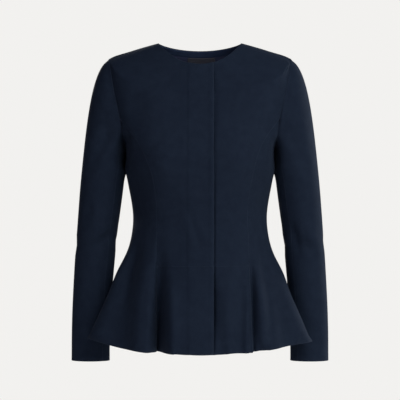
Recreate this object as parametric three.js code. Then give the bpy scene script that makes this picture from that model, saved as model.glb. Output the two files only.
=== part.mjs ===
// A woman's peplum jacket in navy wool crepe, hollow as it is worn: collarless round neck, long two-piece
// sleeves, princess seams, a front that laps right over left on a hidden placket, and a peplum that flares
// into folds at the seams. Every cut piece is its own closed wall. Millimetres, +Z up, the front faces -Y,
// the origin is midway between the two neck points, where the shoulders of the wearer hold the jacket.
import * as THREE from "three";

// Rows of a table as objects, named by its heading row.
const table = (columns, ...rows) => rows.map((row) => Object.fromEntries(row.map((v, i) => [columns[i], v])));

// Driving sizes of the cloth and the making.
const CLOTH = 2; // wool crepe with its interlining
const THIN_CLOTH = 1; // facing and lining
const LABEL_CLOTH = 0.8;
const SEAM = 0.3; // gap between two pieces that are sewn together
const FRONT_CENTRE_X = 5; // the centre front line, a little to the wearer's left of the middle
const LAP = 21.5; // how far the front edge runs past the centre front line
const UNDERLAP = 24; // how far the left front runs under the right front
const LAP_STEP = 10; // stretch over which the right front rises onto the left front

// Heights at the side of the body.
const NECK_LEVEL = 0;
const SHOULDER_LEVEL = -32;
const UNDERARM_LEVEL = -226;
const PEPLUM_LEVEL = -386; // the skirt of the jacket starts to flare here
const HEM_LEVEL = -600;
const WAIST_SEAM_LEVEL = -446; // joins the front peplums to the fronts

// Rings of the bodice. level, front and back are heights at the side, the centre front and the centre
// back; halfWidth, toFront and toBack are distances from the middle; square is the exponent of the
// superellipse, and dip that of the fall from the side to the front and back.
const RINGS = table(
  ["name", "level", "front", "back", "halfWidth", "toFront", "toBack", "square", "dip"],
  ["neckline", 0, -48, -12, 86, 70, 60, 2, 1.5],
  ["collar bone", -9, -67, -33, 118, 79, 77, 2.1, 1.25],
  ["mid shoulder", -20, -88, -58, 153, 88, 91, 2.15, 1.1],
  ["shoulder point", -32, -112, -85, 186, 96, 101, 2.3, 1],
  ["upper arm", -75, -140, -118, 185, 103, 107, 2.45, 1],
  ["mid arm", -125, -172, -158, 177, 110, 110, 2.5, 1],
  ["low arm", -180, -206, -200, 165, 116, 110, 2.5, 1],
  ["underarm", -226, -236, -236, 154, 119, 107, 2.4, 1],
  ["bust", -264, -266, -266, 151, 118, 103, 2.35, 1],
  ["under bust", -298, -298, -298, 145.5, 113, 98, 2.3, 1],
  ["ribs", -332, -332, -332, 139.5, 108, 93, 2.25, 1],
  ["waist", -364, -364, -364, 137, 105, 89, 2.2, 1],
  ["low waist", -386, -386, -386, 139, 107, 91, 2.2, 1],
);
const RIDGE_SOFTNESS = 0.16; // rounds the crest of the shoulder
const SWELL_FADE = 1.5; // how fast a swell dies out towards the side

// Fullness of the bust that the princess seams shape, and of the shoulder blades.
const SWELLS = table(
  ["name", "x", "z", "wide", "tall", "out", "front"],
  ["bust", 84, -246, 46, 44, 11, true],
  ["shoulder blade", 82, -150, 52, 60, 4, false],
);

// Distance of the princess seams from the centre line of the front and of the back.
const PRINCESS = table(
  ["level", "front", "back"],
  [-144, 161, 160],
  [-158, 147, 146],
  [-176, 134, 131],
  [-200, 122, 115],
  [-235, 110, 98],
  [-270, 101, 86],
  [-310, 94, 77],
  [-350, 91, 72],
  [-386, 92, 71],
);
const CENTRE_SHIFT = { from: 150, to: 300 }; // depths over which the front seams take up the offset centre
const PRINCESS_TOP = 1.2; // width of a side piece where its princess seam runs out into the armhole

// The peplum hem. angle says where on the low waist ring the cloth comes from (-90 is the centre front,
// 0 the wearer's left side), and x, y, z where it ends on the hem.
const HEM = table(
  ["name", "angle", "x", "y", "z"],
  ["right side flare", -174, -229, -38, -600],
  ["right gore", -151, -152, -98, -618],
  ["right gore edge", -130, -91, -140, -624],
  ["right front fold", -126.7, -86, -112, -624],
  ["right front crest", -111, -56, -148, -625],
  ["front", -90, 2, -150, -627],
  ["left front hollow", -74, 42, -143, -626],
  ["left front crest", -62, 73, -148, -624],
  ["left front edge", -48, 104, -137, -624],
  ["left front fold", -44, 109, -105, -622],
  ["left gore crest", -34, 141, -116, -619],
  ["left gore", -22, 174, -84, -614],
  ["left side flare", -6, 229, -38, -607],
  ["left side hollow", 12, 176, 30, -612],
  ["left back side", 30, 166, 90, -616],
  ["left back crest", 47, 132, 142, -612],
  ["left back fold", 61, 84, 128, -620],
  ["back left crest", 73, 52, 165, -622],
  ["back", 90, 0, 160, -626],
  ["back right crest", 107, -52, 165, -622],
  ["right back fold", 119, -84, 128, -620],
  ["right back crest", 133, -132, 142, -612],
  ["right back side", 150, -166, 90, -616],
  ["right side hollow", 168, -176, 30, -612],
);
const FLARE_START = 0.08; // share of the peplum's height where the flare sets in
const FLARE_SOFTNESS = 0.09;

// The armholes, as angles either side of the side seam, in steps from the underarm to the shoulder point.
const ARMHOLE = { front: 23, back: 24, square: 0.85 };
const ARMHOLE_STEPS = 11;
const FRONT_JUNCTION = 5; // step of the armhole where the front princess seam ends
const BACK_JUNCTION = 5;

// The sleeve head leaves the armhole at a tilt in degrees below level, from the shoulder point to the
// underarm; rise and fall are shares of the way at which it turns down into the first ring of the sleeve.
const CAP = { startTilt: 20, endTilt: 88, tiltGrowth: 2.6, forward: 0.35, rise: 0.15, fall: 0.5 };
const CAP_ROWS = { steps: 6, ease: 1.25 };
const SLEEVE_CLEARANCE = 0.5;
// Rings of the left sleeve: inner and outer are distances from the middle, front and back are along Y.
const SLEEVE = table(
  ["level", "inner", "outer", "front", "back"],
  [-264, 153.4, 243.4, -44, 58],
  [-300, 157.4, 247, -39, 59],
  [-338, 162.8, 250, -31, 62],
  [-374, 168, 253, -23, 66],
  [-411, 172.2, 256.6, -13, 70],
  [-448, 176, 259, -7, 72],
  [-500, 180.4, 262, -4, 71],
  [-560, 184, 264.6, -4, 69],
  [-610, 186, 265.4, -5, 67],
  [-651, 186.4, 265.2, -6, 66],
);
const FOREARM_SEAM = 3; // steps of the armhole at which the two seams of the sleeve begin
const ELBOW_SEAM = 4;

// What shows inside the back of the neck: the facing ends and the lining begins at a level of the rings.
const FACING_EDGE = -4.5;
const LABEL = { centre: 3, width: 56, top: -6.2, bottom: -14.5, stand: 0.9 };

const WOOL = new THREE.MeshStandardMaterial({ color: 0x1b2334, roughness: 0.85, metalness: 0 });
const LINING_CLOTH = new THREE.MeshStandardMaterial({ color: 0x1a1e33, roughness: 0.5, metalness: 0 });
const LABEL_WEAVE = new THREE.MeshStandardMaterial({ color: 0x2e2c33, roughness: 0.7, metalness: 0 });

const radians = THREE.MathUtils.degToRad;
const degrees = THREE.MathUtils.radToDeg;
const mix = THREE.MathUtils.lerp;
const smoothstep = THREE.MathUtils.smoothstep;

// A smooth curve through (xs, ys) that never overshoots them; with a period it closes on itself.
function smoothCurve(xs, ys, period = 0) {
  if (period) {
    const n = xs.length;
    const pad = [n - 2, n - 1];
    xs = [...pad.map((i) => xs[i] - period), ...xs, xs[0] + period, xs[1] + period];
    ys = [...pad.map((i) => ys[i]), ...ys, ys[0], ys[1]];
  }
  const last = xs.length - 1;
  const rise = xs.slice(1).map((x, i) => (ys[i + 1] - ys[i]) / (x - xs[i]));
  const slope = xs.map((_, i) => {
    if (i === 0) return rise[0];
    if (i === last) return rise[last - 1];
    const [a, b] = [rise[i - 1], rise[i]];
    return a * b <= 0 ? 0 : (2 * a * b) / (a + b);
  });
  return (x) => {
    let i = 0;
    while (i < last - 1 && x > xs[i + 1]) i++;
    const run = xs[i + 1] - xs[i];
    const t = THREE.MathUtils.clamp((x - xs[i]) / run, 0, 1);
    const [t2, t3] = [t * t, t * t * t];
    return (
      ys[i] * (2 * t3 - 3 * t2 + 1) +
      ys[i + 1] * (3 * t2 - 2 * t3) +
      run * (slope[i] * (t3 - 2 * t2 + t) + slope[i + 1] * (t3 - t2))
    );
  };
}

// One smooth curve for each column of a table, against the column named by key.
function tableCurves(table, key, columns, period = 0) {
  const rows = [...table].sort((a, b) => a[key] - b[key]);
  const at = rows.map((r) => r[key]);
  return Object.fromEntries(columns.map((c) => [c, smoothCurve(at, rows.map((r) => r[c]), period)]));
}

const RING_COLUMNS = ["front", "back", "halfWidth", "toFront", "toBack", "square", "dip"];
const ring = tableCurves(RINGS, "level", RING_COLUMNS);
const princess = tableCurves(PRINCESS, "level", ["front", "back"]);
const hem = tableCurves(HEM, "angle", ["x", "y", "z"], 360);
const tube = tableCurves(SLEEVE, "level", ["inner", "outer", "front", "back"]);

// Share of the fall from the side to the centre, rounded at the crest.
function fall(s, dip) {
  const soft = (v) => Math.hypot(v, RIDGE_SOFTNESS) - RIDGE_SOFTNESS;
  return (soft(s) / soft(1)) ** dip;
}

// A point of the bodice, from its angle round the body and the level of its ring.
function bodicePoint(angle, level) {
  const [c, s] = [Math.cos(radians(angle)), Math.sin(radians(angle))];
  const power = 2 / ring.square(level);
  const isFront = s < 0;
  const depth = isFront ? -ring.toFront(level) : ring.toBack(level);
  const centre = isFront ? ring.front(level) : ring.back(level);
  const point = new THREE.Vector3(
    Math.sign(c) * ring.halfWidth(level) * Math.abs(c) ** power,
    depth * Math.abs(s) ** power,
    mix(level, centre, fall(Math.abs(s), ring.dip(level))),
  );
  for (const w of SWELLS) {
    const near = Math.exp(-(((Math.abs(point.x) - w.x) / w.wide) ** 2) - ((point.z - w.z) / w.tall) ** 2);
    const fade = Math.min(1, Math.abs(s) * SWELL_FADE);
    if (w.front === isFront) point.y += Math.sign(depth) * w.out * near * fade;
  }
  return point;
}

// How far the peplum has flared, from 0 where it starts to 1 at the hem.
function flare(t) {
  const soft = (v) => (v - FLARE_START + Math.hypot(v - FLARE_START, FLARE_SOFTNESS)) / 2;
  return (soft(t) - soft(0)) / (soft(1) - soft(0));
}

// A point of the jacket's body on the outside of the cloth.
function bodyPoint(angle, level) {
  if (level >= PEPLUM_LEVEL) return bodicePoint(angle, level);
  const start = bodicePoint(angle, PEPLUM_LEVEL);
  const t = (PEPLUM_LEVEL - level) / (PEPLUM_LEVEL - HEM_LEVEL);
  const round = ((((angle + 180) % 360) + 360) % 360) - 180;
  const share = flare(t);
  return new THREE.Vector3(
    mix(start.x, hem.x(round), share),
    mix(start.y, hem.y(round), share),
    mix(start.z, hem.z(round), t),
  );
}

// The unit normal of a surface given as a function of two numbers, from steps either side.
function normalOf(surface, u, v, du, dv) {
  const along = surface(u + du, v).sub(surface(u - du, v));
  const up = surface(u, v + dv).sub(surface(u, v - dv));
  return along.cross(up).normalize();
}

const bodyNormal = (angle, level) => {
  const step = 0.4;
  const lifted = THREE.MathUtils.clamp(level, HEM_LEVEL + step, NECK_LEVEL - step);
  return normalOf(bodyPoint, angle, lifted, step, step);
};

// The angle at which the ring of a level is x from the middle, on the front or the back.
function angleAt(x, level, isFront) {
  const ringLevel = Math.max(level, PEPLUM_LEVEL);
  const share = Math.abs(x) / ring.halfWidth(ringLevel);
  const fromSide = degrees(Math.acos(Math.min(1, share) ** (ring.square(ringLevel) / 2)));
  const round = x < 0 ? 180 - fromSide : fromSide;
  return isFront ? -round : round;
}

// The angle moved by a distance along the cloth.
function shifted(angle, level, distance) {
  const step = 0.5;
  const speed = bodyPoint(angle + step, level).distanceTo(bodyPoint(angle - step, level)) / (2 * step);
  return angle + distance / speed;
}

// The edge of the armhole at a step of the way from the underarm (0) to the shoulder point.
const armholeLevel = (i) =>
  mix(UNDERARM_LEVEL, SHOULDER_LEVEL, (1 - Math.cos((Math.PI * i) / ARMHOLE_STEPS)) / 2);
function armholeAngle(i, isFront) {
  const widest = isFront ? -ARMHOLE.front : ARMHOLE.back;
  return widest * Math.max(0, Math.sin((Math.PI * i) / ARMHOLE_STEPS)) ** ARMHOLE.square;
}

// The levels of the rows of the body, hem to neck, with the step of the armhole where there is one.
const steps = (from, to, count) => Array.from({ length: count }, (_, i) => mix(from, to, i / count));
const ROWS = [
  ...steps(HEM_LEVEL, WAIST_SEAM_LEVEL, 5).map((level) => ({ level })),
  ...steps(WAIST_SEAM_LEVEL, PEPLUM_LEVEL, 2).map((level) => ({ level })),
  ...steps(PEPLUM_LEVEL, UNDERARM_LEVEL, 6).map((level) => ({ level })),
  ...steps(0, ARMHOLE_STEPS, ARMHOLE_STEPS).map((step) => ({ level: armholeLevel(step), step })),
  ...steps(SHOULDER_LEVEL, FACING_EDGE, 4).map((level) => ({ level, onShoulder: true })),
  { level: FACING_EDGE, onShoulder: true },
  { level: NECK_LEVEL, onShoulder: true },
];

// Turns an angle given for the wearer's left side (positive x) to the right side.
const onSide = (side, angle) => (side > 0 ? angle : angle < 0 ? -180 - angle : 180 - angle);

// Where the seam between a centre piece and its side piece lies on a row, for the wearer's left or right.
function princessAngle(row, side, isFront) {
  if (row.step === (isFront ? FRONT_JUNCTION : BACK_JUNCTION)) {
    const edge = onSide(side, armholeAngle(row.step, isFront));
    const inward = (side > 0) === isFront ? -1 : 1;
    return shifted(edge, row.level, inward * PRINCESS_TOP);
  }
  const centre = isFront ? FRONT_CENTRE_X : 0;
  const reach = isFront ? princess.front : princess.back;
  const level = Math.max(row.level, PEPLUM_LEVEL);
  const middle = centre * smoothstep(-level, CENTRE_SHIFT.from, CENTRE_SHIFT.to);
  return angleAt(middle + side * reach(level), level, isFront);
}

// The outer edge of a centre piece: the princess seam, the armhole, then the shoulder seam.
function centrePieceEdge(row, side, isFront) {
  const junction = isFront ? FRONT_JUNCTION : BACK_JUNCTION;
  if (row.onShoulder) return onSide(side, isFront ? -1e-9 : 0);
  if (row.step > junction) return onSide(side, armholeAngle(row.step, isFront) || (isFront ? -1e-9 : 0));
  return princessAngle(row, side, isFront);
}

// The outer edge of a side piece: the side seam, then the armhole.
const sidePieceEdge = (row, side, isFront) =>
  onSide(side, (row.step ? armholeAngle(row.step, isFront) : 0) || (isFront ? -1e-9 : 0));

// A closed wall from a grid of outer points and of inner points, row by row.
function wall(outer, inner) {
  const [rows, columns] = [outer.length, outer[0].length];
  const points = [...outer.flat(), ...inner.flat()];
  const at = (layer, i, j) => layer * rows * columns + i * columns + j;
  const faces = [];
  const quad = (a, b, c, d) => faces.push(a, b, c, a, c, d);
  for (let i = 0; i < rows - 1; i++) {
    for (let j = 0; j < columns - 1; j++) {
      quad(at(0, i, j), at(0, i, j + 1), at(0, i + 1, j + 1), at(0, i + 1, j));
      quad(at(1, i, j), at(1, i + 1, j), at(1, i + 1, j + 1), at(1, i, j + 1));
    }
    quad(at(0, i, 0), at(0, i + 1, 0), at(1, i + 1, 0), at(1, i, 0));
    const j = columns - 1;
    quad(at(0, i, j), at(1, i, j), at(1, i + 1, j), at(0, i + 1, j));
  }
  for (let j = 0; j < columns - 1; j++) {
    quad(at(0, 0, j), at(1, 0, j), at(1, 0, j + 1), at(0, 0, j + 1));
    quad(at(0, rows - 1, j), at(0, rows - 1, j + 1), at(1, rows - 1, j + 1), at(1, rows - 1, j));
  }
  const geometry = new THREE.BufferGeometry();
  geometry.setAttribute("position", new THREE.Float32BufferAttribute(points.flatMap((p) => p.toArray()), 3));
  geometry.setIndex(faces);
  return geometry;
}

const jacket = new THREE.Group();

function addPiece(name, geometry, material) {
  const mesh = new THREE.Mesh(geometry, material);
  mesh.name = name;
  jacket.add(mesh);
}

// Shares of the way between two edges, evenly spaced along the hem, folds included.
function columnShares(from, to, count) {
  const fine = 160; // short steps along the hem
  const lengths = [0];
  for (let i = 1; i <= fine; i++) {
    const [a, b] = [mix(from, to, (i - 1) / fine), mix(from, to, i / fine)];
    lengths.push(lengths[i - 1] + bodyPoint(a, HEM_LEVEL).distanceTo(bodyPoint(b, HEM_LEVEL)));
  }
  const run = smoothCurve(lengths, lengths.map((_, i) => i / fine));
  return Array.from({ length: count }, (_, i) => run((lengths[fine] * (i + 1)) / count));
}

// A piece of the body across its edges, which are functions of the row, with a count of columns between
// each two. trims are taken off at the first and last edge, raise lifts it off the body's surface and
// depth sinks it below.
function bodyPiece(name, rows, edges, counts, options = {}) {
  const { raise = () => 0, depth = 0, thickness = CLOTH, cloth = WOOL } = options;
  const { trims = [SEAM / 2, SEAM / 2] } = options;
  const shares = counts.map((count, k) => columnShares(edges[k](ROWS[0]), edges[k + 1](ROWS[0]), count));
  const outer = [];
  const inner = [];
  for (const row of rows) {
    const marks = edges.map((edge) => edge(row));
    marks[0] = shifted(marks[0], row.level, trims[0]);
    marks.push(shifted(marks.pop(), row.level, -trims[1]));
    const across = shares.flatMap((strip, k) => strip.map((s) => mix(marks[k], marks[k + 1], s)));
    const angles = [marks[0], ...across];
    const normals = angles.map((a) => bodyNormal(a, row.level));
    const skin = angles.map((a, j) => {
      const p = bodyPoint(a, row.level);
      return p.addScaledVector(normals[j], raise(p.x) - depth);
    });
    outer.push(skin);
    inner.push(skin.map((p, j) => p.clone().addScaledVector(normals[j], -thickness)));
  }
  addPiece(name, wall(outer, inner), cloth);
}

// Rows of a piece between two levels, moved apart by the seam where it ends on one.
const rowsBetween = (low, high) => ROWS.filter((r) => r.level >= low - 1e-6 && r.level <= high + 1e-6);
const seamed = (rows, atLow, atHigh) =>
  rows.map((r, i) => ({
    ...r,
    level: r.level + (i === 0 && atLow ? SEAM / 2 : 0) - (i === rows.length - 1 && atHigh ? SEAM / 2 : 0),
  }));

// Fronts and front peplums. The right one laps over the left one and rises by a cloth's thickness on it.
const UNDER_EDGE = FRONT_CENTRE_X - UNDERLAP;
const lapRaise = (x) => (CLOTH + SEAM) * smoothstep(x, UNDER_EDGE - LAP_STEP, UNDER_EDGE - 1);
const frontLine = (x) => (row) => angleAt(x, row.level, true);
const upperRows = seamed(rowsBetween(WAIST_SEAM_LEVEL, NECK_LEVEL), true, false);
const lowerRows = seamed(rowsBetween(HEM_LEVEL, WAIST_SEAM_LEVEL), false, true);
for (const [part, rows] of [["front", upperRows], ["front_peplum", lowerRows]]) {
  const lap = [frontLine(UNDER_EDGE), frontLine(FRONT_CENTRE_X + LAP)];
  const rightOutside = (row) => centrePieceEdge(row, -1, true);
  const leftOutside = (row) => centrePieceEdge(row, 1, true);
  const rightEdges = [rightOutside, frontLine(UNDER_EDGE - LAP_STEP), ...lap];
  bodyPiece(`right_${part}`, rows, rightEdges, [7, 2, 3], { raise: lapRaise, trims: [SEAM / 2, 0] });
  bodyPiece(`left_${part}`, rows, [...lap, leftOutside], [3, 8], { trims: [0, SEAM / 2] });
}

// Side fronts and side backs run from the armhole to the hem, and the back is cut in one.
for (const [hand, side] of [["right", -1], ["left", 1]]) {
  for (const isFront of [true, false]) {
    const [part, junction] = isFront ? ["side_front", FRONT_JUNCTION] : ["side_back", BACK_JUNCTION];
    const rows = ROWS.filter((r) => !r.onShoulder && !(r.step > junction));
    const seam = (row) => princessAngle(row, side, isFront);
    const outside = (row) => sidePieceEdge(row, side, isFront);
    const edges = (side > 0) === isFront ? [seam, outside] : [outside, seam];
    bodyPiece(`${hand}_${part}`, rows, edges, [10]);
  }
}
const backEdges = [1, -1].map((side) => (row) => centrePieceEdge(row, side, false));
const BACK_COLUMNS = 16;
bodyPiece("back", ROWS, backEdges, [BACK_COLUMNS]);

// The facing and the lining follow the back's own rows and columns on its inside.
const inside = { depth: CLOTH + SEAM, thickness: THIN_CLOTH };
const facingRows = rowsBetween(FACING_EDGE, NECK_LEVEL);
const shoulderRows = rowsBetween(SHOULDER_LEVEL, FACING_EDGE).filter((r) => r.onShoulder);
const liningRows = seamed(shoulderRows, false, true);
bodyPiece("back_neck_facing", facingRows, backEdges, [BACK_COLUMNS], inside);
bodyPiece("inner_back", liningRows, backEdges, [BACK_COLUMNS], { ...inside, cloth: LINING_CLOTH });

// The label lies flat on the lining, just below the facing.
const labelRows = steps(LABEL.bottom, LABEL.top, 4).concat(LABEL.top).map((level) => ({ level }));
const labelEdge = (x) => (row) => angleAt(x, row.level, false);
const labelEdges = [labelEdge(LABEL.centre + LABEL.width / 2), labelEdge(LABEL.centre - LABEL.width / 2)];
bodyPiece("label", labelRows, labelEdges, [8], {
  depth: inside.depth + THIN_CLOTH + LABEL.stand,
  thickness: LABEL_CLOTH,
  cloth: LABEL_WEAVE,
});

// A point of the left sleeve. turn is the angle round it from its outer side, the front negative; run
// goes from 0 at the armhole to 1 at the first ring of the tube, then on as the level of the tube.
function tubePoint(turn, level) {
  const [inner, outer, front, back] = ["inner", "outer", "front", "back"].map((c) => tube[c](level));
  const [c, s] = [Math.cos(radians(turn)), Math.sin(radians(turn))];
  return new THREE.Vector3(mix(inner, outer, (1 + c) / 2), mix(front, back, (1 + s) / 2), level);
}

const SMALL_DROP = 20; // gives the way the sleeve runs at its first ring
const TUBE_TOP = SLEEVE[0].level;
const CUFF_LEVEL = SLEEVE.at(-1).level;

function capPoint(turn, run) {
  const step = ARMHOLE_STEPS * (1 - Math.abs(turn) / 180);
  const isFront = turn < 0;
  const start = bodyPoint(armholeAngle(step, isFront), armholeLevel(step));
  start.x += SLEEVE_CLEARANCE;
  const end = tubePoint(turn, TUBE_TOP);
  const reach = start.distanceTo(end);
  const [c, s] = [Math.cos(radians(turn)), Math.sin(radians(turn))];
  const tilt = radians(mix(CAP.startTilt, CAP.endTilt, ((1 - c) / 2) ** CAP.tiltGrowth));
  const away = new THREE.Vector3(Math.cos(tilt), CAP.forward * s, -Math.sin(tilt)).normalize();
  const down = tubePoint(turn, TUBE_TOP - SMALL_DROP).sub(end).normalize();
  const curve = new THREE.CubicBezierCurve3(
    start,
    start.clone().addScaledVector(away, reach * CAP.rise),
    end.clone().addScaledVector(down, -reach * CAP.fall),
    end,
  );
  return curve.getPoint(run);
}

// Rows of the sleeve: run from 0 to 1 down the cap, then 1 and more as rings of the tube.
function sleevePoint(turn, run) {
  if (run <= 1) return capPoint(turn, Math.max(0, run));
  return tubePoint(turn, mix(TUBE_TOP, CUFF_LEVEL, Math.min(1, run - 1)));
}
const capRuns = Array.from({ length: CAP_ROWS.steps }, (_, i) => (i / CAP_ROWS.steps) ** CAP_ROWS.ease);
const tubeRuns = Array.from({ length: SLEEVE.length }, (_, i) => 1 + i / (SLEEVE.length - 1));
const SLEEVE_RUNS = [...capRuns, ...tubeRuns];

function sleeveNormal(turn, run) {
  const step = 0.01;
  const inside = THREE.MathUtils.clamp(run, step, 2 - step);
  return normalOf(sleevePoint, turn, inside, 1, step).negate();
}

// The turn round the sleeve at a step of the armhole: from 0 at the underarm up the front to the shoulder
// point, then on down the back.
const turnAt = (step) => (180 * step) / ARMHOLE_STEPS - 180;

// A piece of the sleeve between two steps of the armhole; the left one, and the right one as its mirror.
function sleevePiece(name, side, from, to) {
  const count = to - from;
  const outer = [];
  const inner = [];
  for (const run of SLEEVE_RUNS) {
    const turns = Array.from({ length: count + 1 }, (_, i) => turnAt(from + i));
    const speed = sleevePoint(turns[0], run).distanceTo(sleevePoint(turns[1], run)) / (turns[1] - turns[0]);
    turns[0] += SEAM / 2 / speed;
    turns[count] -= SEAM / 2 / speed;
    const wrapped = turns.map((t) => (t > 180 ? t - 360 : t));
    const skin = wrapped.map((t) => sleevePoint(t, run));
    outer.push(skin);
    inner.push(skin.map((p, i) => p.clone().addScaledVector(sleeveNormal(wrapped[i], run), -CLOTH)));
  }
  const placed = [outer, inner].map((grid) =>
    grid.map((row) => {
      const moved = row.map((p) => new THREE.Vector3(side * p.x, p.y, p.z));
      return side > 0 ? moved.reverse() : moved;
    }),
  );
  addPiece(name, wall(...placed), WOOL);
}
for (const [hand, side] of [["right", -1], ["left", 1]]) {
  const forearm = FOREARM_SEAM;
  const elbow = 2 * ARMHOLE_STEPS - ELBOW_SEAM;
  sleevePiece(`${hand}_upper_sleeve`, side, forearm, elbow);
  sleevePiece(`${hand}_under_sleeve`, side, elbow, 2 * ARMHOLE_STEPS + forearm);
}

export default jacket;
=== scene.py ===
# A woman's peplum jacket in navy wool crepe, hollow as it is worn: collarless round neck, long two-piece
# sleeves, princess seams, a front that laps right over left on a hidden placket, and a skirt that flares
# into folds at the seams. Metres, the front faces -Y, +X is the wearer's left.
import math

import bmesh
import bpy
import numpy as np
from mathutils import Matrix, Vector
from mathutils.bvhtree import BVHTree
from mathutils.kdtree import KDTree


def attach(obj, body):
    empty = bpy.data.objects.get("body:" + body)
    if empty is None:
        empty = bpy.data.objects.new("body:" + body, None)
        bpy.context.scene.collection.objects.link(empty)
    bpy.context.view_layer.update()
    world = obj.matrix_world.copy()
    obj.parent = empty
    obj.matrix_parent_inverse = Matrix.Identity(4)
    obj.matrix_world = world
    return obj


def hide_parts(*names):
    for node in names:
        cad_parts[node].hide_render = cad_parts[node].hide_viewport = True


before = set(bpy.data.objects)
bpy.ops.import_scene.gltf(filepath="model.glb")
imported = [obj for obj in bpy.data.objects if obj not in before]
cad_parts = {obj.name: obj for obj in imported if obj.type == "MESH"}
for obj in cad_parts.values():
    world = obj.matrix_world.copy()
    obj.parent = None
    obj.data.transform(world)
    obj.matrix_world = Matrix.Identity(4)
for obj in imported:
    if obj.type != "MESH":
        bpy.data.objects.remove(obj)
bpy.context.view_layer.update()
MM = 0.001


# Floor, light and camera. The jacket hangs at the height of its wearer over a plain pale floor, in the
# soft light of a studio: large lamps in front and beside it on the wearer's left, a weak fill in front on
# the right, and two behind that light its outline and its back.
FLOOR_Z = -0.96
PALE = (0.86, 0.855, 0.84, 1)

bm = bmesh.new()
bmesh.ops.create_grid(bm, x_segments=1, y_segments=1, size=2.0)
bmesh.ops.translate(bm, verts=bm.verts, vec=(0, -0.4, FLOOR_Z))
floor_mesh = bpy.data.meshes.new("floor")
bm.to_mesh(floor_mesh)
bm.free()
floor = bpy.data.objects.new("floor", floor_mesh)
bpy.context.scene.collection.objects.link(floor)
floor_paint = bpy.data.materials.new("pale_floor")
floor_paint.use_nodes = True
floor_paint.node_tree.nodes["Principled BSDF"].inputs["Base Color"].default_value = PALE
floor_paint.node_tree.nodes["Principled BSDF"].inputs["Roughness"].default_value = 0.9
floor_mesh.materials.append(floor_paint)

world = bpy.data.worlds.new("studio")
bpy.context.scene.world = world
world.use_nodes = True
sky = world.node_tree
sky.nodes.clear()
seen = sky.nodes.new("ShaderNodeBackground")
seen.inputs["Color"].default_value = (0.888, 0.880, 0.863, 1)
fill = sky.nodes.new("ShaderNodeBackground")
fill.inputs["Color"].default_value = (1.0, 0.84, 0.92, 1)
fill.inputs["Strength"].default_value = 0.03
ray = sky.nodes.new("ShaderNodeLightPath")
either = sky.nodes.new("ShaderNodeMixShader")
sky_out = sky.nodes.new("ShaderNodeOutputWorld")
sky.links.new(ray.outputs["Is Camera Ray"], either.inputs[0])
sky.links.new(fill.outputs[0], either.inputs[1])
sky.links.new(seen.outputs[0], either.inputs[2])
sky.links.new(either.outputs[0], sky_out.inputs[0])

MIDDLE = Vector((0, 0, -0.321))


def softbox(name, place, size, power, colour):
    lamp = bpy.data.lights.new(name, "AREA")
    lamp.shape = "RECTANGLE"
    lamp.size, lamp.size_y = size
    lamp.energy = power
    lamp.color = colour
    obj = bpy.data.objects.new(name, lamp)
    obj.location = place
    obj.rotation_euler = (MIDDLE - Vector(place)).to_track_quat("-Z", "Y").to_euler()
    bpy.context.scene.collection.objects.link(obj)


softbox("key", (2.3, -2.1, 1.3), (1.3, 1.6), 28, (1.0, 0.99, 0.975))
softbox("side", (2.9, -1.2, 0.8), (1.0, 1.6), 11, (1.0, 0.99, 0.975))
softbox("top", (0.9, -2.6, 1.9), (1.3, 1.2), 29, (1.0, 0.99, 0.98))
softbox("front", (1.4, -3.0, 0.7), (1.3, 1.6), 13, (1.0, 0.99, 0.98))
softbox("fill", (-1.8, -2.9, 0.3), (1.3, 1.6), 10, (1.0, 0.86, 0.98))
softbox("rim", (2.3, 1.5, 0.4), (0.8, 1.6), 40, (1.0, 1.0, 1.0))
softbox("back", (-0.8, 2.9, 0.9), (1.8, 1.4), 42, (1.0, 0.99, 0.98))

CAMERA_DISTANCE = 4.0
FIELD = 0.82  # width of the picture at the middle of the jacket
lens = bpy.data.cameras.new("camera")
lens.sensor_width = 36
lens.lens = lens.sensor_width * CAMERA_DISTANCE / FIELD
camera = bpy.data.objects.new("camera", lens)
camera.location = MIDDLE + Vector((0, -CAMERA_DISTANCE, 0))
camera.rotation_euler = (math.radians(90), 0, 0)
bpy.context.scene.collection.objects.link(camera)
bpy.context.scene.camera = camera
bpy.context.scene.view_settings.view_transform = "Standard"


# Fronts and front peplums, in wool crepe. The right front laps over the left one on a hidden placket,
# and below the low waist seam each goes on as its own piece of the skirt.
CLOTH = 2 * MM


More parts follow.
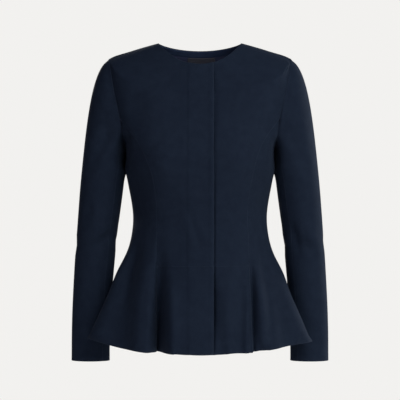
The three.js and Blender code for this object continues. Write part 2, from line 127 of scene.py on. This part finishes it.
class S:
    """A shader socket whose arithmetic adds Math nodes."""

    def __init__(self, tree, socket):
        self.tree, self.socket = tree, socket

    def node(self, kind, settings=None, **values):
        node = self.tree.nodes.new(kind)
        for key, value in (settings or {}).items():
            if key == "stops":
                ramp = node.color_ramp
                while len(ramp.elements) < len(value):
                    ramp.elements.new(0.5)
                for element, (place, colour) in zip(ramp.elements, value):
                    element.position, element.color = place, colour
            else:
                setattr(node, key, value)
        for key, value in values.items():
            place = node.inputs[int(key[1:])] if key[1:].isdigit() else node.inputs[key.replace("_", " ")]
            if isinstance(value, S):
                self.tree.links.new(value.socket, place)
            else:
                place.default_value = value
        return node

    def out(self, kind, settings=None, port=0, **values):
        return S(self.tree, self.node(kind, settings, **values).outputs[port])

    def math(self, operation, *values):
        inputs = {f"_{i}": value for i, value in enumerate(values)}
        return self.out("ShaderNodeMath", {"operation": operation}, **inputs)

    def __add__(self, other):
        return self.math("ADD", self, other)

    def __sub__(self, other):
        return self.math("SUBTRACT", self, other)

    def __rsub__(self, other):
        return self.math("SUBTRACT", other, self)

    def __mul__(self, other):
        return self.math("MULTIPLY", self, other)

    def __truediv__(self, other):
        return self.math("DIVIDE", self, other)

    __radd__ = __add__
    __rmul__ = __mul__

    def bell(self, middle, width):
        """1 where the value is at the middle, falling off over the width."""
        away = (self - middle) / width
        return self.math("EXPONENT", (away * away) * -1)

    def rises(self, low, high):
        """0 below low and 1 above high, with a smooth step between."""
        settings = {"interpolation_type": "SMOOTHSTEP"}
        return self.out("ShaderNodeMapRange", settings, _0=self, _1=low, _2=high, _3=0.0, _4=1.0)

    def blend(self, colour_a, colour_b):
        """The two colours mixed by this value."""
        return self.out("ShaderNodeMix", {"data_type": "RGBA"}, port=2, _0=self, _6=colour_a, _7=colour_b)


def new_material(name):
    material = bpy.data.materials.new(name)
    material.use_nodes = True
    tree = material.node_tree
    start = S(tree, None)
    place = start.out("ShaderNodeTexCoord", port=3)
    return material, tree, start, place, tree.nodes["Principled BSDF"]


def noise(place, scale, detail=2.0, roughness=0.5):
    values = {"Vector": place, "Scale": scale, "Detail": detail, "Roughness": roughness}
    return place.out("ShaderNodeTexNoise", None, **values)


WOOL = (0.0156, 0.0250, 0.0452, 1)
WOOL_DEEP = (0.0101, 0.0166, 0.0324, 1)
# Lighter colour along the seam edges: partly wear of the nap, partly a painted highlight where the edges
# catch the light.
WOOL_WEAR_AND_HIGHLIGHT = (0.0315, 0.0445, 0.0710, 1)
WEAR_AND_HIGHLIGHT_EDGE = 1.9 * MM
ALLOWANCE = 10 * MM  # seam allowance, pressed open
TURN_UP = 34 * MM  # depth of the hem inside
WAIST_SEAM_LEVEL = -0.446  # pressed flat, so it shows less than the other seams


def wool_shader(start, place, shader, deep=WOOL_DEEP, light=WOOL):
    """Crepe: a dry pebbled grain of hard-twisted yarn that scatters both ways of the weave, a faint mottle of
    the wool, and the seam allowances that show through beside each seam."""
    seam = start.out("ShaderNodeAttribute", {"attribute_name": "seam"}, port=2)
    hem = start.out("ShaderNodeAttribute", {"attribute_name": "hem"}, port=2)
    upright = place.out("ShaderNodeMapping", None, Vector=place, Scale=(1.0, 1.0, 0.5))
    across = place.out("ShaderNodeMapping", None, Vector=place, Scale=(0.5, 0.5, 1.0))
    warp = noise(upright, 1500, 2.0, 0.6)
    weft = noise(across, 1400, 2.0, 0.6)
    grain = warp.math("MAXIMUM", warp, weft)
    pebble = place.out("ShaderNodeTexVoronoi", {"feature": "F1"}, Vector=place, Scale=1250)
    fibre = noise(place, 4200, 2.0, 0.7)
    mottle = noise(place, 60, 4.0, 0.65)
    slow = noise(place, 8, 2.0)
    tone = (grain - 0.08) * 0.42 + fibre * 0.16 + mottle * 0.34 + slow * 0.16 - 0.04
    colour = tone.rises(0.34, 0.66).blend(deep, light)
    level = place.out("ShaderNodeSeparateXYZ", port=2, _0=place)
    flat_seam = level.bell(WAIST_SEAM_LEVEL, 5 * MM) * 0.93
    # Painted highlight and wear: the seam edges lightened towards WOOL_WEAR_AND_HIGHLIGHT, partly worn nap
    # and partly painted light where each edge catches the light; less of it at the flat waist seam.
    wear_and_highlight = (1 - seam.rises(0.0, WEAR_AND_HIGHLIGHT_EDGE)) * (grain * 0.5 + 0.05) * (1 - flat_seam)
    colour = wear_and_highlight.blend(colour, WOOL_WEAR_AND_HIGHLIGHT)
    allowance = 1 - seam.rises(ALLOWANCE - MM, ALLOWANCE + MM)
    pucker = noise(place, 120, 1.0) * seam.bell(2.2 * MM, 3 * MM)
    turned = hem.bell(TURN_UP, 1.6 * MM)
    height = grain * 0.42 - pebble * 0.20 + fibre * 0.08 + mottle * 0.05
    height = height + allowance * 0.10 + pucker * 0.30 - turned * 0.12
    bump = start.node("ShaderNodeBump", None, Strength=1.0, Distance=0.8 * MM, Height=height)
    tree = start.tree
    tree.links.new(colour.socket, shader.inputs["Base Color"])
    tree.links.new((grain * 0.2 + 0.72).socket, shader.inputs["Roughness"])
    tree.links.new(bump.outputs[0], shader.inputs["Normal"])
    shader.inputs["Specular IOR Level"].default_value = 0.05
    shader.inputs["Sheen Weight"].default_value = 0.05
    shader.inputs["Sheen Roughness"].default_value = 0.4
    shader.inputs["Sheen Tint"].default_value = (0.5, 0.66, 1.0, 1)


wool, tree, start, place, shader = new_material("wool_crepe")
wool_shader(start, place, shader)

LINING = (0.0240, 0.0320, 0.0780, 1)
LINING_LIGHT = (0.0330, 0.0430, 0.0980, 1)


def lining_shader(start, place, shader):
    """Lining: a smooth fine twill, with a soft sheen along its diagonal."""
    turned = place.out("ShaderNodeMapping", None, Vector=place, Rotation=(0, math.radians(38), 0))
    twill = place.out("ShaderNodeTexWave", None, Vector=turned, Scale=520, Distortion=0.6)
    crumple = noise(place, 26, 3.0)
    colour = (twill * 0.5 + crumple * 0.5).blend(LINING, LINING_LIGHT)
    height = twill * 0.10 + crumple * 0.9
    bump = start.node("ShaderNodeBump", None, Strength=0.6, Distance=1.5 * MM, Height=height)
    tree = start.tree
    tree.links.new(colour.socket, shader.inputs["Base Color"])
    tree.links.new((crumple * 0.12 + 0.38).socket, shader.inputs["Roughness"])
    tree.links.new(bump.outputs[0], shader.inputs["Normal"])
    shader.inputs["Specular IOR Level"].default_value = 0.4


# Inside the jacket the lining meets a turned-up hem of the wool.
inside, tree, start, place, shader = new_material("inside")
lining_shader(start, place, shader)
wool_side = start.node("ShaderNodeBsdfPrincipled")
wool_shader(start, place, wool_side)
hem = start.out("ShaderNodeAttribute", {"attribute_name": "hem"}, port=2)
lined = S(tree, shader.outputs[0])
past_hem = hem.rises(TURN_UP - 0.5 * MM, TURN_UP + 0.5 * MM)
both = start.out("ShaderNodeMixShader", None, _0=past_hem, _1=S(tree, wool_side.outputs[0]), _2=lined)
tree.links.new(both.socket, tree.nodes["Material Output"].inputs[0])


def skin(node, wall, axis, side=1):
    """The side of a node's wall that faces away from an upright axis, or towards it, as a sheet of quads."""
    bm = bmesh.new()
    bm.from_mesh(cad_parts[node].data)
    bmesh.ops.remove_doubles(bm, verts=bm.verts, dist=0.01 * MM)
    bm.normal_update()
    solid = BVHTree.FromBMesh(bm)

    def crosses(edge):
        a, b = edge.verts
        through = b.co - a.co
        return abs(through.length - wall) < 0.004 * MM and (b.normal - a.normal).dot(through) > 0.7 * wall

    def sliver(face):
        if 2 * face.calc_area() > 1.5 * wall * max(e.calc_length() for e in face.edges):
            return False
        below = face.calc_center_median() - 0.005 * MM * face.normal
        through = solid.ray_cast(below, -face.normal)[3]
        return through is None or through > 1.7 * wall

    rim = {f for e in bm.edges if crosses(e) for f in e.link_faces} | {f for f in bm.faces if sliver(f)}
    bmesh.ops.delete(bm, geom=list(rim), context="FACES")
    todo = set(bm.faces)
    while todo:
        island, edge = set(), [next(iter(todo))]
        while edge:
            face = edge.pop()
            if face in island:
                continue
            island.add(face)
            edge += [f for e in face.edges for f in e.link_faces if f not in island]
        todo -= island
        facing = {}
        for face in island:
            x, y, z = face.calc_center_median()
            outward = Vector((x - axis[0], y - axis[1], max(0, z + 0.2)))
            facing[face] = side * face.calc_area() * face.normal.dot(outward)
        right = sum(v for v in facing.values() if v > 0)
        wrong = -sum(v for v in facing.values() if v < 0)
        if min(right, wrong) > 0.3 * max(right, wrong):
            bmesh.ops.delete(bm, geom=[f for f, v in facing.items() if v <= 0], context="FACES")
        elif wrong > right or len(island) < 6:
            bmesh.ops.delete(bm, geom=list(island), context="FACES")
    loose = [v for v in bm.verts if not v.link_faces]
    bmesh.ops.delete(bm, geom=loose, context="VERTS")
    bmesh.ops.join_triangles(
        bm, faces=bm.faces, angle_face_threshold=math.radians(80), angle_shape_threshold=math.radians(180)
    )
    return bm


def crease_corners(bm, least=math.radians(32)):
    """Keeps sharp the corners that a seam or edge turns."""
    layer = bm.verts.layers.float.new("crease_vert")
    for v in bm.verts:
        rims = [e for e in v.link_edges if e.is_boundary]
        if len(rims) != 2:
            continue
        a, b = [e.other_vert(v).co - v.co for e in rims]
        if a.length > 0 and b.length > 0 and math.pi - a.angle(b) > least:
            v[layer] = 1.0


def evaluated(obj):
    graph = bpy.context.evaluated_depsgraph_get()
    return bpy.data.meshes.new_from_object(obj.evaluated_get(graph))


def points_of(mesh):
    co = np.empty(len(mesh.vertices) * 3)
    mesh.vertices.foreach_get("co", co)
    return co.reshape(-1, 3)


def smooth_through(bm, name, levels):
    """Subdivides the sheet into a smooth one that still passes through its points."""
    crease_corners(bm)
    mesh = bpy.data.meshes.new(name)
    bm.to_mesh(mesh)
    bm.free()
    obj = bpy.data.objects.new(name, mesh)
    bpy.context.scene.collection.objects.link(obj)
    subsurf = obj.modifiers.new("Smooth", "SUBSURF")
    subsurf.boundary_smooth = "PRESERVE_CORNERS"
    subsurf.levels = subsurf.render_levels = 1
    wanted = points_of(mesh)
    control = wanted.copy()
    for _ in range(5):
        reached = evaluated(obj)
        control += 0.8 * (wanted - points_of(reached)[: len(wanted)])
        bpy.data.meshes.remove(reached)
        mesh.vertices.foreach_set("co", control.ravel())
        mesh.update()
    subsurf.levels = subsurf.render_levels = levels
    fine = evaluated(obj)
    obj.modifiers.clear()
    obj.data = fine
    fine.name = name
    bpy.data.meshes.remove(mesh)
    return obj


def normals_of(mesh):
    n = np.empty(len(mesh.vertices) * 3)
    mesh.vertices.foreach_get("normal", n)
    return n.reshape(-1, 3)


def soften(mesh, rounds):
    """Evens the sheet out, except along its edges."""
    bm = bmesh.new()
    bm.from_mesh(mesh)
    inner = [v for v in bm.verts if not any(e.is_boundary for e in v.link_edges)]
    for _ in range(rounds):
        bmesh.ops.smooth_vert(bm, verts=inner, factor=0.5, use_axis_x=True, use_axis_y=True, use_axis_z=True)
    bm.to_mesh(mesh)
    bm.free()


def let_out(mesh, width):
    """Lets the free edges out by a width, so that two pieces meet in their seam."""
    bm = bmesh.new()
    bm.from_mesh(mesh)
    moves = {}
    for e in bm.edges:
        if e.is_boundary:
            a, b = e.verts
            face = e.link_faces[0]
            out = (b.co - a.co).cross(face.normal).normalized()
            if out.dot(face.calc_center_median() - a.co) > 0:
                out = -out
            for v in e.verts:
                moves[v] = moves.get(v, Vector()) + out
    for v, out in moves.items():
        v.co += width * out.normalized()
    bm.to_mesh(mesh)
    bm.free()


def nearest(points, marks):
    """Distance of each point from the nearest mark."""
    tree = KDTree(len(marks))
    for i, m in enumerate(marks):
        tree.insert(m, i)
    tree.balance()
    return np.array([tree.find(p)[2] for p in points])


def edge_marks(mesh, step=0.8 * MM):
    """Points close together along the free edges of the sheet."""
    bm = bmesh.new()
    bm.from_mesh(mesh)
    marks = []
    for e in bm.edges:
        if e.is_boundary:
            a, b = e.verts[0].co, e.verts[1].co
            count = max(1, int((b - a).length / step))
            marks += [a.lerp(b, i / count) for i in range(count + 1)]
    bm.free()
    return marks


FACING = {"front": (0, -1, 0), "back": (0, 1, 0), "left": (1, 0, 0), "right": (-1, 0, 0)}
CREASES = []


def crease(facing, path, width, height, fade=(0.25, 0.25), only="body"):
    """A soft ridge, or a trough where height is negative, along a path in the plane it is seen in. Sizes are
    in millimetres. Fade is the share of the path over which each end dies out. Only gives words from the
    names of the pieces it is on, or the body, the sleeves or all of it."""
    CREASES.append((facing, np.array(path) * MM, width * MM, height * MM, fade, only.split()))


def eased(values):
    values = np.clip(values, 0, 1)
    return values * values * (3 - 2 * values)


def creased(node, points, normals):
    """How far the creases move each point of a piece. It is straight out in the direction they are seen from,
    so that two pieces stay together at their seam; a crease of a sleeve alone is square to the cloth."""
    moved = np.zeros_like(points)
    sleeve = "sleeve" in node
    x, y = points[:, 0], points[:, 1]
    region = {
        "front": eased((0.02 - y) / 0.04),
        "back": eased((0.02 + y) / 0.04),
        "left": eased((x - 0.06) / 0.05),
        "right": eased((-x - 0.06) / 0.05),
    }
    under_arm = eased((0.052 - y) / 0.046)
    for facing, path, width, height, fade, only in CREASES:
        names = [word for word in only if word not in ("all", "body")]
        if any(word not in node for word in names) or ("all" not in only and sleeve != ("sleeve" in only)):
            continue
        direction = np.array(FACING[facing])
        if "sleeve" in only:
            outward = normals * eased((normals @ direction - 0.05) / 0.5)[:, None]
        else:
            outward = direction * (under_arm if "all" in only else region[facing])[:, None]
        flat = points[:, [0, 2]] if facing in ("front", "back") else points[:, [1, 2]]
        lengths = np.linalg.norm(np.diff(path, axis=0), axis=1)
        best = np.full(len(points), 1e9)
        where = np.zeros(len(points))
        run = 0.0
        for a, b, length in zip(path[:-1], path[1:], lengths):
            along = np.clip(((flat - a) @ (b - a)) / length**2, 0, 1)
            off = flat - (a + along[:, None] * (b - a))
            away = np.linalg.norm(off, axis=1)
            near = away < best
            best = np.where(near, away, best)
            where = np.where(near, (run + along * length) / lengths.sum(), where)
            run += length
        taper = eased(where / max(fade[0], 1e-6)) * eased((1 - where) / max(fade[1], 1e-6))
        moved += outward * (height * taper * np.exp(-((best / width) ** 2)))[:, None]
    return moved


def add_attribute(mesh, name, values):
    layer = mesh.attributes.new(name, "FLOAT", "POINT")
    layer.data.foreach_set("value", np.asarray(values, dtype=np.float32))


HEM_BELOW = -0.59  # a piece's free edge below this height is its hem or cuff
FAR = 1.0  # stands for no hem near
LET_OUT = 0.8 * MM  # each free edge, so that the pieces still meet in their seams once they are creased


SMOOTH_LEVELS = 2
SOFT_ROUNDS = 12


def cloth_piece(node, name, materials, axis=(0, 0), wall=CLOTH, side=1):
    """A piece of the jacket as a thin shell on its solid's form: smooth, creased and with soft edges."""
    obj = smooth_through(skin(node, wall, axis, side), name, SMOOTH_LEVELS)
    mesh = obj.data
    soften(mesh, SOFT_ROUNDS)
    let_out(mesh, LET_OUT)
    mesh.update()
    points, normals = points_of(mesh), normals_of(mesh)
    points = points + creased(node, points, normals)
    mesh.vertices.foreach_set("co", points.ravel())
    mesh.update()
    marks = edge_marks(mesh)
    hems = [m for m in marks if m.z < HEM_BELOW]
    add_attribute(mesh, "seam", nearest(points, marks))
    add_attribute(mesh, "hem", nearest(points, hems) if hems else np.full(len(points), FAR))
    for material in materials:
        mesh.materials.append(material)
    shell = obj.modifiers.new("Wall", "SOLIDIFY")
    shell.thickness = 0.9 * wall
    shell.offset = -1
    shell.material_offset = len(materials) - 1
    shell.use_even_offset = False
    soft = obj.modifiers.new("Rounded", "BEVEL")
    soft.limit_method = "ANGLE"
    soft.angle_limit = math.radians(50)
    soft.width = 0.2 * wall
    soft.segments = 2
    soft.harden_normals = True
    mesh.polygons.foreach_set("use_smooth", [True] * len(mesh.polygons))
    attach(obj, "root")
    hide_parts(node)
    return obj


# Folds of the front: a trough and a ridge in the peplum at each princess seam, deeper on the wearer's right,
# and softer ones in the gores.
crease("front", [(-78, -404), (-80, -460), (-84, -540), (-88, -626)], 10.5, -20.5, (0.8, 0))
crease("front", [(-76, -470), (-79, -540), (-82, -626)], 15, -10, (0.8, 0))
crease("front", [(-60, -440), (-57, -500), (-55, -560), (-54, -626)], 13, 6, (0.6, 0))
crease("front", [(-98, -400), (-112, -460), (-124, -520), (-130, -626)], 15, 9, (0.4, 0))
crease("front", [(-118, -370), (-126, -420), (-139, -470), (-150, -520), (-158, -570)], 10, -13, (0.4, 0.5))
crease("front", [(96, -412), (101, -460), (104.5, -510), (104.5, -570), (102.5, -626)], 6, -14.5, (0.7, 0))
crease("front", [(85, -430), (82, -500), (80, -560), (79, -626)], 16, -15, (0.5, 0))
ridge_beside = [(98, -391), (111, -440), (118, -479), (121, -515), (123, -551), (125, -626)]
crease("front", ridge_beside, 10, 6.5, (0.25, 0.1))
trough_beyond = [(120, -430), (129, -479), (137, -515), (140, -551), (142, -590), (143, -612)]
crease("front", trough_beyond, 8, -5, (0.2, 0.1))
crease("front", [(158, -450), (188, -530), (208, -600)], 24, 8, (0.3, 0))
crease("front", [(-158, -450), (-186, -530), (-206, -600)], 24, 7, (0.3, 0))
crease("front", [(24, -455), (25, -530), (25, -612)], 12, -9, (0.4, 0.35), only="left_front_peplum")
crease("front", [(58, -465), (57, -540), (56, -626)], 12, 3, (0.5, 0.1))

# Drag lines at the waist, and its hollow at both sides.
crease("front", [(-24, -331), (-8, -388), (10, -434)], 6, -1.8, (0.4, 0.4))
crease("front", [(-40, -330), (-20, -392), (-6, -440)], 8, 1.4, (0.4, 0.4))
crease("front", [(-137, -250), (-133, -300), (-130, -350), (-134, -400)], 25, -20, (0.5, 0.35))
crease("front", [(138, -236), (134, -300), (131, -350), (136, -400)], 28, -24, (0.5, 0.35))

# Lap: the ridge along the front edge, the left front stepping down beside it, and the placket's inner edge.
crease("front", [(22.5, -48), (22.5, -240), (22.5, -440), (22, -627)], 3.2, 1.1, (0, 0), only="right_front")
crease("front", [(28.2, -48), (28.2, -240), (28.2, -440), (27.8, -627)], 2.0, -3.8, (0, 0), only="left_front")
crease("front", [(-33, -48), (-33, -240), (-33, -440), (-33, -627)], 12, 1.1, (0, 0), only="right_front")

# Soft hollows of the front beside the armholes, and the deep one where each sleeve falls away under the arm.
crease("front", [(-140, -90), (-128, -150), (-112, -190)], 24, -5, (0.4, 0.4))
crease("front", [(146, -100), (140, -160), (122, -206)], 17, -5, (0.4, 0.4))
crease("front", [(-148, -176), (-153, -210), (-156, -262)], 9, -31, (0.35, 0.14), only="all")
crease("front", [(151, -190), (153, -218), (155, -266)], 7.5, -28, (0.4, 0.14), only="all")

# The upper tip of each side piece lies a little under its neighbours.
crease("front", [(-161, -154), (-158, -164), (-154, -174)], 7, -2.6, (0, 0.6), only="right_side_front")
crease("front", [(163, -152), (160, -162), (156, -172)], 7, -2.6, (0, 0.6), only="left_side_front")
crease("back", [(-160, -151), (-157, -161), (-153, -171)], 7, -2.6, (0, 0.6), only="right_side_back")
crease("back", [(160, -151), (157, -161), (153, -171)], 7, -2.6, (0, 0.6), only="left_side_back")

# Below the arm the side and the sleeve swell until they nearly touch.
crease("right", [(-50, -252), (0, -256), (50, -256)], 14, 3, (0.2, 0.2), only="right_side")
crease("left", [(-50, -252), (0, -256), (50, -256)], 14, 3, (0.2, 0.2), only="left_side")
crease("left", [(-50, -254), (0, -258), (50, -258)], 13, 3.5, (0.2, 0.2), only="right sleeve")
crease("right", [(-50, -254), (0, -258), (50, -258)], 13, 3.5, (0.2, 0.2), only="left sleeve")

for node, flat, area in (
    ("right_front", (0.218, 0.46), 0.073),
    ("left_front", (0.212, 0.46), 0.0735),
    ("right_front_peplum", (0.161, 0.178), 0.025),
    ("left_front_peplum", (0.141, 0.178), 0.0236),
):
    piece = cloth_piece(node, node + "_cloth", (wool, inside))


# Sides and back, in wool crepe: a side front and a side back each way and a back cut in one, all from the
# shoulder or armhole to the hem, with their fullness breaking into folds below the waist.
crease("left", [(-70, -462), (0, -470), (40, -470)], 30, 4, (0.3, 0.4))
crease("right", [(-70, -462), (0, -470), (40, -470)], 30, 3, (0.3, 0.4))
crease("left", [(-40, -400), (-52, -480), (-60, -540), (-66, -606)], 13, 4, (0.4, 0.1))
crease("left", [(0, -410), (2, -480), (6, -606)], 14, -5, (0.4, 0.1))
crease("left", [(44, -400), (56, -480), (66, -612)], 13, 4, (0.4, 0.1))
crease("right", [(-34, -405), (-46, -490), (-56, -606)], 14, 4, (0.4, 0.1))
crease("right", [(6, -400), (6, -480), (12, -606)], 13, -5, (0.4, 0.1))
crease("right", [(50, -405), (60, -480), (70, -612)], 12, 4, (0.4, 0.1))
crease("back", [(72, -396), (82, -460), (86, -530), (84, -622)], 9, -6, (0.4, 0))
crease("back", [(-70, -396), (-80, -460), (-86, -530), (-84, -622)], 8, -7, (0.4, 0))
crease("back", [(24, -450), (26, -530), (24, -624)], 15, -4, (0.5, 0.1))
crease("back", [(-18, -440), (-22, -530), (-24, -624)], 16, -3.5, (0.5, 0.1))
crease("back", [(112, -420), (128, -500), (138, -612)], 12, 3, (0.4, 0.1))
crease("back", [(-110, -415), (-126, -500), (-136, -612)], 13, 3, (0.4, 0.1))
crease("back", [(-66, -336), (-20, -352), (34, -346)], 9, -1.6, (0.4, 0.4))
crease("back", [(-40, -372), (10, -380), (60, -366)], 8, -1.4, (0.4, 0.4))

for node, flat, area in (
    ("right_side_front", (0.217, 0.475), 0.063),
    ("left_side_front", (0.178, 0.475), 0.0546),
    ("right_side_back", (0.226, 0.475), 0.0608),
    ("left_side_back", (0.223, 0.475), 0.0603),
    ("back", (0.395, 0.64), 0.1553),
):
    piece = cloth_piece(node, node + "_cloth", (wool, inside))


# Two-piece sleeves, in wool crepe, set into the armholes: a wide upper sleeve and a narrow under sleeve meet
# in a seam down the forearm and one down the elbow. They crease at the elbow. The cuff is turned up inside.
SLEEVE_AXIS = (0.215, 0.03)
crease("front", [(-216, -418), (-198, -404), (-178, -389)], 8, -5.4, (0.4, 0.2), only="sleeve")
crease("front", [(-226, -398), (-206, -388), (-186, -372)], 8, 3.7, (0.4, 0.2), only="sleeve")
crease("front", [(-240, -356), (-226, -346), (-214, -342)], 8, -4.1, (0.4, 0.4), only="sleeve")
crease("front", [(-170, -158), (-200, -212), (-234, -278)], 13, -4.4, (0.35, 0.4), only="sleeve")
crease("front", [(-196, -150), (-222, -204), (-244, -250)], 14, 1.8, (0.35, 0.4), only="sleeve")
crease("front", [(-184, -54), (-172, -102), (-166, -153), (-163, -186)], 3.2, 1.2, (0.1, 0.1), only="sleeve")
crease("front", [(184, -54), (172, -102), (166, -153), (163, -186)], 3.2, 1.0, (0.1, 0.1), only="sleeve")
crease("front", [(-192, -110), (-196, -165), (-206, -225)], 22, -5.5, (0.4, 0.4), only="sleeve")
crease("front", [(-204, -440), (-198, -480), (-196, -520)], 10, -3.4, (0.4, 0.5), only="sleeve")
crease("front", [(214, -388), (232, -402), (248, -414)], 8, 4.4, (0.3, 0.4), only="sleeve")
crease("front", [(182, -366), (194, -396), (206, -436)], 9, -5.4, (0.3, 0.4), only="sleeve")
crease("front", [(206, -408), (226, -424), (246, -434)], 8, -3.4, (0.3, 0.4), only="sleeve")
crease("front", [(172, -162), (196, -214), (228, -276)], 13, -3.7, (0.35, 0.4), only="sleeve")
crease("left", [(20, -360), (40, -376), (60, -384)], 12, -2.1, (0.4, 0.3), only="sleeve")
crease("left", [(10, -396), (34, -408), (60, -414)], 12, -1.9, (0.4, 0.3), only="sleeve")
crease("right", [(16, -364), (38, -372), (60, -388)], 12, -2.1, (0.4, 0.3), only="sleeve")
crease("right", [(8, -400), (30, -416), (56, -420)], 12, -1.9, (0.4, 0.3), only="sleeve")
crease("back", [(196, -368), (220, -380), (244, -376)], 9, -5.1, (0.4, 0.4), only="sleeve")
crease("back", [(192, -408), (218, -402), (246, -410)], 9, -4.4, (0.4, 0.4), only="sleeve")
crease("back", [(-196, -362), (-220, -378), (-244, -380)], 9, -5.1, (0.4, 0.4), only="sleeve")
crease("back", [(-190, -404), (-218, -406), (-244, -398)], 9, -4.4, (0.4, 0.4), only="sleeve")

for hand, side in (("right", -1), ("left", 1)):
    for part, flat, area in (("upper", (0.212, 0.64), 0.1086), ("under", (0.099, 0.48), 0.0373)):
        node = f"{hand}_{part}_sleeve"
        sleeve_axis = (side * SLEEVE_AXIS[0], SLEEVE_AXIS[1])
        piece = cloth_piece(node, node + "_cloth", (wool, inside), axis=sleeve_axis)


# Back neck facing: a strip of the same wool crepe, sewn round the back of the neck and turned inside. Its
# colour here is painted light: a lighter copy of the outside's colour, because the photo shows it as light in
# much less light.
THIN_CLOTH = 1 * MM
facing_wool_painted_light, tree, start, place, shader = new_material("wool_facing_painted_light")
# Painted light: lighter colours than the outside wool, standing in for the light the facing catches.
wool_shader(start, place, shader, deep=(0.027, 0.044, 0.094, 1), light=(0.040, 0.063, 0.128, 1))
piece = cloth_piece("back_neck_facing", "back_neck_facing_cloth", (facing_wool_painted_light,), wall=THIN_CLOTH, side=-1)


# Inner back: the lining that hangs below the facing and shows inside the neck. It is a smooth navy twill,
# sewn to the lower edge of the facing.
lining, tree, start, place, shader = new_material("lining")
lining_shader(start, place, shader)
piece = cloth_piece("inner_back", "inner_back_lining", (lining,), wall=THIN_CLOTH, side=-1)


# Label: a charcoal woven ribbon with a narrow border, bare, sewn on the lining just below the facing. It
# stands a little in front of the lining and high enough to show over the front.
LABEL_CLOTH = 0.8 * MM
LABEL_SHIFT = Vector((0, -2.1 * MM, 3.1 * MM))
label_weave, tree, start, place, shader = new_material("label_weave")
edge = start.out("ShaderNodeAttribute", {"attribute_name": "seam"}, port=2)
threads = place.out("ShaderNodeTexWave", {"bands_direction": "Z"}, Vector=place, Scale=700)
grain = noise(place, 900)
border = edge.bell(1.5 * MM, 0.35 * MM)
ground = (threads * 0.5 + grain * 0.5).blend((0.030, 0.033, 0.050, 1), (0.056, 0.060, 0.084, 1))
colour = (border * 0.6).blend(ground, (0.13, 0.13, 0.14, 1))
bump = start.node("ShaderNodeBump", None, Strength=0.5, Distance=0.3 * MM, Height=threads + border)
tree.links.new(colour.socket, shader.inputs["Base Color"])
tree.links.new((grain * 0.2 + 0.45).socket, shader.inputs["Roughness"])
tree.links.new(bump.outputs[0], shader.inputs["Normal"])
piece = cloth_piece("label", "label_ribbon", (label_weave,), wall=LABEL_CLOTH, side=-1)
piece.data.transform(Matrix.Translation(LABEL_SHIFT))
